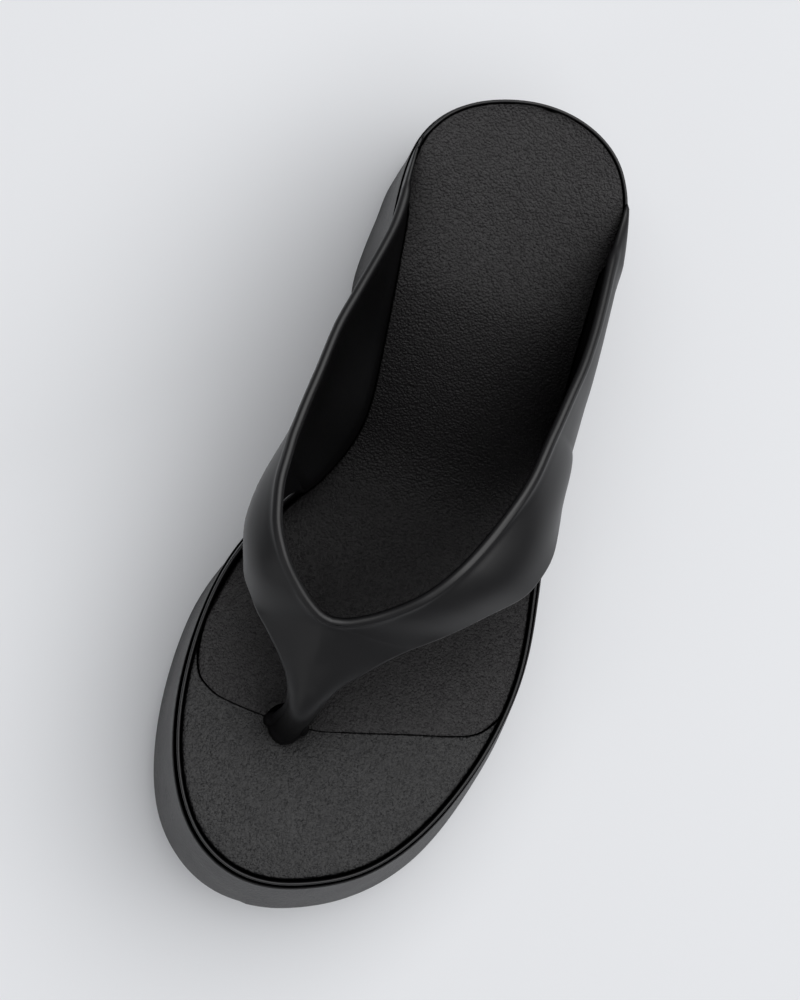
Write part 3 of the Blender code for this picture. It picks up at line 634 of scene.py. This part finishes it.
def crowned(edge, middle, w):
    """Point of a crowned row at w, which runs from -1 to 1, between its middle and one of its edges."""
    bow = 1 - abs(w) ** POST_CROWN
    point = middle + (edge - middle) * abs(w)
    point[0] = edge[0] + (middle[0] - edge[0]) * bow
    point[2] = edge[2] + (middle[2] - edge[2]) * bow
    return point


def build_sheet():
    sheet = Sheet()
    medial_points = band_stations(MEDIAL_SIDE, MEDIAL_WINDOW)
    lateral_points = band_stations(LATERAL_SIDE, LATERAL_WINDOW)
    ring = np.vstack([medial_points, lateral_points[-2:0:-1]])
    count, toe = len(ring), len(medial_points) - 1
    normal = outward(ring)
    is_medial = np.arange(count) <= toe
    stations = ring[:, 0]
    inset = np.where(is_medial, RIM.at("medial", stations), RIM.at("lateral", stations))
    foot_half = np.where(is_medial, RIM.curve("medial_half", stations), RIM.curve("lateral_half", stations))
    rise = np.where(is_medial, RISE.curve("medial", stations), RISE.curve("lateral", stations))
    window = np.where(is_medial, MEDIAL_WINDOW, LATERAL_WINDOW)
    covered = (stations > STRAP_START) & (stations <= window + 0.05)
    lip_half = np.where(covered, foot_half, np.minimum(foot_half, LIP_HALF))
    foot = RIM.at("groove", stations) + GAP
    lip = foot - GAP + RIM.at("band", stations) + rise - LIP_HALF
    shares = (0.0, 0.08, 0.2, 0.35, 0.5, 0.65, 0.8, 0.9, 1.0)
    rows = []
    for share in shares:
        half = foot_half + (lip_half - foot_half) * share
        centre = ring - normal * (inset + half)[:, None]
        rows.append(sheet.add([(centre[i][0], centre[i][1], foot[i] + (lip[i] - foot[i]) * share)
                               for i in range(count)], half))
    for lower, upper in zip(rows, rows[1:]):
        sheet.strip(lower, upper, closed=True, flip=True)
    lips = rows[-1]

    last_rows, throat, meeting = {}, {}, None
    for medial in (True, False):
        table, name, window_s = ((RIBS_MEDIAL, "medial", MEDIAL_WINDOW) if medial
                                 else (RIBS_LATERAL, "lateral", LATERAL_WINDOW))
        near = sorted((i for i in range(count) if is_medial[i] == medial and covered[i]),
                      key=lambda i: stations[i])
        first_low, window_throat, first_high = table.rows[0][1:4], table.rows[0][4], table.rows[0][4:7]
        first_length = np.linalg.norm(first_high - first_low)
        grid = []
        for i in near:
            along = (stations[i] - STRAP_START) / (window_s - STRAP_START)
            throat_s = STRAP_START + along * (window_throat - STRAP_START)
            high = np.array([throat_s, THROAT.at(name, throat_s), THROAT.at(name + "_z", throat_s)])
            low = sheet.points[lips[i]]
            length = np.linalg.norm(high - low)
            blend = min(1.0, length / FULL_STRAP)
            places, halves = strap_profile(length, blend, foot_half[i])
            bulge = table.rows[0][7] * (length / first_length) ** BULGE_GROWTH[name]
            section = bow_out(low, high, bulge, medial, places)
            grid.append([lips[i]] + sheet.add(section[1:], halves[1:], blend))
        corner_low, corner_high = sheet.points[lips[near[-1]]], sheet.points[grid[-1][-1]]
        for number in np.arange(RIB_STEP, len(table.rows), RIB_STEP):
            number = min(number, table.rows[-1][0])
            low, high = (np.array([float(table.at(c, number)) for c in names])
                         for names in (RIB_COLUMNS[1:4], RIB_COLUMNS[4:7]))
            leave = max(0.0, 1 - number / RIB_TAKEOVER) ** 2
            low, high = low + (corner_low - first_low) * leave, high + (corner_high - first_high) * leave
            foot_here = STRAP_HALF + (foot_half[near[-1]] - STRAP_HALF) * leave
            places, halves = strap_profile(np.linalg.norm(high - low), 1.0, foot_here)
            section = bow_out(low, high, float(table.at("bulge", number)), medial, places)
            final = number >= table.rows[-1][0]
            loose = number > table.rows[-1][0] - FAIR_RIBS
            if final and meeting is not None:
                grid.append(sheet.add(section[:-1], halves[:-1], 1.0, loose) + [meeting])
            else:
                grid.append(sheet.add(section, halves, 1.0, loose))
            if final:
                break
        for before, after in zip(grid, grid[1:]):
            sheet.strip(before, after, flip=not medial)
        start = lips[(near[0] - 1) % count] if medial else lips[(near[0] + 1) % count]
        sheet.strip([start] * len(grid[0]), grid[0], flip=not medial)
        last_rows[medial] = grid[-1]
        throat[medial] = [row[-1] for row in grid]
        meeting = grid[-1][-1]

    before = last_rows[True] + last_rows[False][-2::-1]
    start_points = [sheet.points[v] for v in before]
    start_halves = [sheet.halves[v] for v in before]
    steps = len(before) - 1
    middle = len(last_rows[True]) - 1
    lengths = [np.linalg.norm(b - a) for a, b in zip(start_points, start_points[1:])]
    arc = np.concatenate([[0], np.cumsum(lengths)])
    spread = [(arc[k] - arc[middle]) / (arc[middle] if k <= middle else arc[-1] - arc[middle])
              for k in range(steps + 1)]
    numbers = np.concatenate([np.arange(POST_FIRST_STEP, 1.0, POST_FIRST_STEP),
                              np.linspace(1.0, 10.0, int(9 / POST_STEP) + 1)])
    for number in numbers:
        med, mid, lat = (np.array([float(POST.curve(c, number)) for c in POST_COLUMNS[k:k + 3]])
                         for k in (1, 4, 7))
        half = float(POST.curve("half", number))
        post_share = min(1.0, max(0.0, (number - 2) / 3))
        leave = max(0.0, 1 - number / POST_TAKEOVER) ** 2 * (1 + 2 * number / POST_TAKEOVER)
        row, halves = [], []
        for k, w in enumerate(spread):
            point = crowned(med if w < 0 else lat, mid, w)
            straight = crowned(POST.rows[0][1:4] if w < 0 else POST.rows[0][7:10], POST.rows[0][4:7], w)
            row.append(point + (start_points[k] - straight) * leave)
            halves.append(half * (1 - post_share * POST_EDGE_TAPER * w * w) * (1 - leave)
                          + start_halves[k] * leave)
        after = sheet.add(row, halves, max(0.0, 1 - number / POST_BEAD_ENDS), number < FAIR_POST)
        sheet.strip(before, after)
        before = after
    sheet.throat = throat[True] + throat[False][-2::-1]
    return sheet, set(rows[0]), set(before)


def add_bead(sheet, points):
    """Half thickness of every vertex with the bead, from its distance to the throat edge."""
    edge = points[sheet.throat]
    start, run = edge[:-1], np.diff(edge, axis=0)
    size = np.maximum((run * run).sum(axis=1), 1e-9)
    halves, share = np.array(sheet.halves), np.array(sheet.bead)
    for v in np.nonzero(share > 0)[0]:
        along = np.clip(((points[v] - start) * run).sum(axis=1) / size, 0, 1)
        distance = np.linalg.norm(points[v] - start - run * along[:, None], axis=1).min()
        halves[v] += float(BEAD.curve("extra", distance)) * share[v]
    return halves


def fair(points, faces, loose):
    """Place the loose points on the surface of least bending between their fixed neighbours."""
    points = np.array(points)
    near = {}
    uses = {}
    for face in faces:
        for k, a in enumerate(face):
            b = face[(k + 1) % len(face)]
            weight = 1 / max(float(np.linalg.norm(points[a] - points[b])), 0.05)
            near.setdefault(a, {})[b] = near.setdefault(b, {})[a] = weight
            uses[(min(a, b), max(a, b))] = uses.get((min(a, b), max(a, b)), 0) + 1
    border = {v for pair, times in uses.items() if times == 1 for v in pair}
    column = {v: k for k, v in enumerate(v for v in loose if v not in border)}
    rows = [v for v in sorted({w for v in column for w in near[v]} | set(column)) if v not in border]
    entries, right = [], np.zeros((len(rows), 3))
    for k, v in enumerate(rows):
        total = sum(near[v].values())
        for w, weight in [(v, -total)] + list(near[v].items()):
            if w in column:
                entries.append((k, column[w], weight / total))
            else:
                right[k] -= points[w] * weight / total
    row, col, value = (np.array(part) for part in zip(*entries))

    def spread(x):
        return np.stack([np.bincount(row, value * x[col, k], len(rows)) for k in range(3)], axis=1)

    def gather(y):
        return np.stack([np.bincount(col, value * y[row, k], len(column)) for k in range(3)], axis=1)

    found = points[list(column)]
    error = gather(right - spread(found))
    step, size = error.copy(), (error * error).sum()
    for _ in range(FAIR_ROUNDS):
        change = spread(step)
        share = size / max((change * change).sum(), 1e-20)
        found += step * share
        error -= gather(change) * share
        new_size = (error * error).sum()
        step, size = error + step * new_size / max(size, 1e-30), new_size
    points[list(column)] = found
    return points


def relax(points, faces, fixed, rounds):
    """Even out kinks of the sheet; an edge point follows its neighbours along the edge only."""
    edges = {}
    for face in faces:
        for k, v in enumerate(face):
            pair = tuple(sorted((v, face[(k + 1) % len(face)])))
            edges[pair] = edges.get(pair, 0) + 1
    on_edge = {v for pair, uses in edges.items() if uses == 1 for v in pair}
    a, b = np.array(list(edges)).T
    free = np.array([uses == 1 for uses in edges.values()])
    rim = np.array([v in on_edge for v in range(len(points))])
    points = np.array(points)
    near = 1 / np.maximum(np.linalg.norm(points[a] - points[b], axis=1), 0.05)
    to_a = near * np.where(rim[a], free, True)
    to_b = near * np.where(rim[b], free, True)
    hold = np.ones(len(points))
    hold[list(fixed)] = 0.0
    for step in [0.5, -0.52] * rounds:
        total, pull = np.zeros(len(points)), np.zeros_like(points)
        np.add.at(total, a, to_a)
        np.add.at(total, b, to_b)
        np.add.at(pull, a, points[b] * to_a[:, None])
        np.add.at(pull, b, points[a] * to_b[:, None])
        move = pull / np.maximum(total, 1e-9)[:, None] - points
        move[total < 1e-9] = 0.0
        points = points + move * step * hold[:, None]
    return points


EDGE_ANGLES = np.radians((22, 45, 68, 90, 112, 135, 158))
FREE_EDGE_REACH = 0.95        # how far an edge's rounding stands out, in halves of the thickness
HIDDEN_EDGE_REACH = 0.15
RELAX_ROUNDS = 12


def thicken(sheet, flat, end):
    """Closed form round the sheet: both faces, and a rounded strip along every free edge."""
    points = relax(fair(sheet.points, sheet.faces, sheet.loose), sheet.faces, flat | end, RELAX_ROUNDS)
    normal = np.zeros_like(points)
    owner = {}
    for face in sheet.faces:
        corners = points[list(face)]
        area = sum(np.cross(corners[k], corners[(k + 1) % len(face)]) for k in range(len(face)))
        middle = corners.mean(axis=0)
        for k, v in enumerate(face):
            normal[v] += area
            owner[(v, face[(k + 1) % len(face)])] = middle
    for v in flat | end:
        normal[v][2] = 0.0
    normal /= np.maximum(np.linalg.norm(normal, axis=1), 1e-9)[:, None]
    half = add_bead(sheet, points)[:, None]
    form = Form()
    outer = form.add(points + normal * half)
    inner = form.add(points - normal * half)
    free = [edge for edge in owner if (edge[1], edge[0]) not in owner]
    push = np.zeros_like(points)
    for a, b in free:
        along = points[b] - points[a]
        away = (points[a] + points[b]) / 2 - owner[(a, b)]
        away -= along * np.dot(away, along) / np.dot(along, along)
        for v in (a, b):
            push[v] += away / np.linalg.norm(away)
    rim = {}
    for v in {v for edge in free for v in edge}:
        direction = push[v] - normal[v] * np.dot(push[v], normal[v])
        direction /= max(np.linalg.norm(direction), 1e-9)
        reach = HIDDEN_EDGE_REACH if v in flat or v in end else FREE_EDGE_REACH
        rim[v] = form.add([points[v] + (normal[v] * math.cos(t) + direction * math.sin(t) * reach) * half[v]
                           for t in EDGE_ANGLES])
    form.faces += [tuple(outer[v] for v in face) for face in sheet.faces]
    form.faces += [tuple(inner[v] for v in face[::-1]) for face in sheet.faces]
    for a, b in free:
        chain_a = [outer[a]] + rim[a] + [inner[a]]
        chain_b = [outer[b]] + rim[b] + [inner[b]]
        form.strip(chain_b, chain_a)
    return form


def footbed_edges(halves, gap=0.0):
    """The rim moved in by the band's inset, by halves of its thickness and a gap: both sides, heel to toe."""
    s = FINE_OUTLINE[:, 0]
    medial = np.arange(len(s)) <= int(np.argmax(s))
    inset = np.where(medial, RIM.at("medial", s), RIM.at("lateral", s))
    half = np.where(medial, RIM.curve("medial_half", s), RIM.curve("lateral_half", s))
    return two_sides(FINE_OUTLINE - outward(FINE_OUTLINE) * (inset + half * halves + gap)[:, None])


def furrow(s, x, ring):
    """How far the footbed drops towards the band's inner face, a closed ring of points."""
    distance = float(np.sqrt(((ring - (s, x)) ** 2).sum(axis=1).min()))
    width = float(RIM.curve("furrow", s))
    return MOAT * width * max(0.0, 1 - distance / width) ** 1.7


def footbed_point(start, seam_gap, progress, pull, across, edges):
    """Station and x of a point of the footbed, on the way from one end of the shoe to the seam."""
    share = (across + 1) / 2
    end = SEAM_MEDIAL + (SEAM_LATERAL - SEAM_MEDIAL) * share + seam_gap
    s = (start + (end - start) * (1 - math.cos(math.pi * progress / 2))
         + float(SEAM.curve("ahead", across)) * progress ** pull)
    medial, lateral = (float(np.interp(s, edge[:, 0], edge[:, 1])) for edge in edges)
    return s, medial + (lateral - medial) * share


EDGE_PLACES = np.array((0.0, 0.003, 0.007, 0.011, 0.016, 0.021, 0.027, 0.035, 0.045, 0.06, 0.08))
# Places across the footbed, closer together at both edges.
ACROSS = np.concatenate([EDGE_PLACES - 1, np.linspace(-0.9, 0.9, 47), 1 - EDGE_PLACES[::-1]])
SEAM_ROWS = (0.9935, 0.996, 0.998, 0.9992, 1.0)
SEAM_ROUND = 0.0065           # share of the way to the seam over which its edge is rounded, and by how much
SEAM_FALL = 0.28
BED_PULL, INSOLE_PULL = 3.0, 7.0      # how late the rows of each take on the seam's shape


def footbed_rows(steps):
    """Shares of the way to the seam, closer together at its very end, where the edge is rounded."""
    return np.concatenate([np.linspace(0, 1, steps + 1)[:-1], SEAM_ROWS])


def seam_drop(progress):
    """The small rounding of the footbed's edge along the seam."""
    return SEAM_FALL * max(0.0, 1 - (1 - progress) / SEAM_ROUND) ** 2


def footbed_level(s):
    """Height of the footbed away from its edges."""
    return float(RIM.at("groove", s) + RIM.at("band", s) - RIM.at("below", s))


def plate(progress, place, towards_toe):
    """Closed plate between an upper and a lower grid; both start in one point and end at the seam."""
    form = Form()
    sheets = []
    for upper in (True, False):
        tip = form.add([place(0.0, 0.0, upper)])
        rows = [tip * len(ACROSS)]
        rows += [form.add([place(p, across, upper) for across in ACROSS]) for p in progress[1:]]
        sheets.append(rows)
    for rows, turned in zip(sheets, (towards_toe, not towards_toe)):
        for before, after in zip(rows, rows[1:]):
            form.strip(before, after, flip=turned)
    upper, lower = ([row[0] for row in rows] + rows[-1][1:] + [row[-1] for row in rows[-2:0:-1]]
                    for rows in sheets)
    form.strip(*((lower, upper) if towards_toe else (upper, lower)), closed=True)
    form.grain = [1.0] * len(form.points)
    return form


def combined(piece, other, operation, solver, sharp_angle):
    """Join the piece with another form, or cut it, by a boolean; the other form is then removed."""
    step = piece.modifiers.new("boolean", "BOOLEAN")
    step.operation, step.solver, step.object = operation, solver, other
    mesh = bpy.data.meshes.new_from_object(piece.evaluated_get(bpy.context.evaluated_depsgraph_get()))
    piece.modifiers.remove(step)
    if not mesh.polygons:
        raise ValueError("nothing is left of " + piece.name)
    piece.data = mesh
    mesh.shade_smooth()
    mesh.set_sharp_from_angle(angle=math.radians(sharp_angle))
    bpy.data.objects.remove(other)
    return piece


def build_toe_bed():
    """Plate inside the front of the band, with a furrow along the lip and a soft edge at the seam."""
    edges = footbed_edges(1)
    face = np.vstack(footbed_edges(2))
    toe = edges[0][-1, 0]

    def place(progress, across, upper):
        s, x = footbed_point(toe, SEAM_GAP, progress, BED_PULL, across, edges)
        if not upper:
            return s, x, float(RIM.at("groove", s)) + DECK_GAP
        return s, x, footbed_level(s) - furrow(s, x, face) - seam_drop(progress)

    return plate(footbed_rows(BED_STEPS), place, towards_toe=False)


def mark_bed(mesh):
    """Moulded grain on the toe bed alone: on what lies inside the band and well below its lip."""
    face = footbed_edges(2)
    seam = [footbed_point(TOE_S, 0.0, 1.0, BED_PULL, across, face) for across in np.linspace(-1, 1, 81)]
    seam = np.array(sorted((x, s) for s, x in seam))
    grain = []
    for vertex in mesh.vertices:
        s, x, z = LENGTH / 2 - vertex.co.y / MM, vertex.co.x / MM + CENTRE_X, vertex.co.z / MM
        medial, lateral = (float(np.interp(s, side[:, 0], side[:, 1])) for side in face)
        on_bed = (medial + 0.3 < x < lateral - 0.3 and z < footbed_level(s) + 0.12
                  and s > float(np.interp(x, seam[:, 0], seam[:, 1])) - 0.5)
        grain.append(1.0 if on_bed else 0.0)
    if "grain" in mesh.attributes:
        mesh.attributes.remove(mesh.attributes["grain"])
    mesh.attributes.new("grain", "FLOAT", "POINT").data.foreach_set("value", grain)


def build_upper(material):
    sheet, flat, end = build_sheet()
    straps = thicken(sheet, flat, end).build("upper_moulding", material)
    bed = build_toe_bed().build("toe_bed_form", material)
    moulding = combined(straps, bed, "UNION", "EXACT", sharp_angle=40)
    mark_bed(moulding.data)
    return moulding


upper = build_upper(moulded_plastic(
    "satin_upper_plastic", (0.0042, 0.0040, 0.0045), (0.0055, 0.0052, 0.0058),
    roughness=0.44, grain_size=0.72, grain_depth=0.27))
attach(upper, "root")
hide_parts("upper")


# ---------------------------------------------------------------- insole
# A moulded insert of soft plastic pressed into the band, from the heel to the toe post and round it. It has
# the toe bed's grain, an edge that falls towards the lip, and a shallow dish under the heel.

HEEL_CUP, HEEL_CUP_S, HEEL_CUP_LENGTH = 1.6, 40.0, 38.0    # depth of the dish, its middle and its reach
NOTCH_RADIUS = 6.6            # of the notch round the toe post
NOTCH_MIDDLE, NOTCH_HEIGHT = 76.0, 30.0
INSOLE_STEPS = 170


def build_insole(material):
    edges = footbed_edges(2, SEAM_GAP)
    face = np.vstack(footbed_edges(2))
    start = edges[0][0, 0]
    post_s, post_x = POST.rows[-1][4:6]

    def place(progress, across, upper):
        s, x = footbed_point(start, 0.0, progress, INSOLE_PULL, across, edges)
        if not upper:
            return s, x, float(RIM.at("groove", s)) + DECK_GAP
        cup = HEEL_CUP * math.exp(-((s - HEEL_CUP_S) / HEEL_CUP_LENGTH) ** 2) * (1 - across * across)
        return s, x, footbed_level(s) - cup - furrow(s, x, face) - seam_drop(progress)

    pad = plate(footbed_rows(INSOLE_STEPS), place, towards_toe=True).build("insole_pad", material)
    middle = ((post_x - CENTRE_X) * MM, (LENGTH / 2 - post_s) * MM, NOTCH_MIDDLE * MM)
    bpy.ops.mesh.primitive_cylinder_add(vertices=96, radius=NOTCH_RADIUS * MM, depth=NOTCH_HEIGHT * MM,
                                        location=middle)
    return combined(pad, bpy.context.object, "DIFFERENCE", "MANIFOLD", sharp_angle=45)


insole = build_insole(moulded_plastic(
    "grained_insole_plastic", (0.0088, 0.0078, 0.0084), (0.0118, 0.0104, 0.0112),
    roughness=0.48, grain_size=0.72, grain_depth=0.34))
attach(insole, "root")
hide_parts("insole")


# ---------------------------------------------------------------- studio
# A pale floor without an edge in view, one large soft light overhead on the lateral side of the heel, and a
# much weaker one from the toe.


def pale_floor():
    bpy.ops.mesh.primitive_plane_add(size=6.0, location=(0, 0, 0))
    floor = bpy.context.object
    floor.name = "studio_floor"
    paper = bpy.data.materials.new("pale_paper")
    paper.use_nodes = True
    paper.node_tree.nodes["Principled BSDF"].inputs["Base Color"].default_value = (0.80, 0.81, 0.83, 1.0)
    paper.node_tree.nodes["Principled BSDF"].inputs["Roughness"].default_value = 0.9
    floor.data.materials.append(paper)
    return floor


def soft_light(name, location, size, power):
    """A square light that points at the middle of the floor."""
    lamp = bpy.data.lights.new(name, "AREA")
    lamp.shape = "SQUARE"
    lamp.size = size
    lamp.energy = power
    light = bpy.data.objects.new(name, lamp)
    bpy.context.scene.collection.objects.link(light)
    light.location = location
    direction = -np.array(location)
    pitch = math.acos(-direction[2] / np.linalg.norm(direction))
    light.rotation_euler = (pitch, 0, math.atan2(direction[0], -direction[1]) + math.pi)


pale_floor()
soft_light("overhead", (0.34, 0.40, 1.9), 2.2, 45)
soft_light("toe_side", (-0.9, -1.5, 1.0), 1.2, 2.5)

world = bpy.data.worlds.new("studio")
world.use_nodes = True
world.node_tree.nodes["Background"].inputs["Color"].default_value = (0.93, 0.95, 1.0, 1.0)
world.node_tree.nodes["Background"].inputs["Strength"].default_value = 0.17
bpy.context.scene.world = world
bpy.context.scene.view_settings.view_transform = "Standard"


# ---------------------------------------------------------------- camera
# Looking down on the footbed from 0.8 m over the floor, a little from the medial side.

EYE = (-0.0703, -0.0188, 0.800)
AIM = (-0.003, 0.002, 0.060)
SHOE_UP = (-0.289, 0.957, 0.0)
VIEW_HEIGHT = 0.305           # height of the view at the aim's distance


def add_camera():
    lens = bpy.data.cameras.new("camera")
    camera = bpy.data.objects.new("camera", lens)
    bpy.context.scene.collection.objects.link(camera)
    eye, aim, up = np.array(EYE), np.array(AIM), np.array(SHOE_UP)
    back = (eye - aim) / np.linalg.norm(eye - aim)
    right = np.cross(up, back)
    right /= np.linalg.norm(right)
    above = np.cross(back, right)
    matrix = np.eye(4)
    matrix[:3, 0], matrix[:3, 1], matrix[:3, 2], matrix[:3, 3] = right, above, back, eye
    camera.matrix_world = matrix.T.tolist()
    lens.sensor_fit = "VERTICAL"
    lens.angle = 2 * math.atan(VIEW_HEIGHT / 2 / np.linalg.norm(eye - aim))
    bpy.context.scene.camera = camera


add_camera()
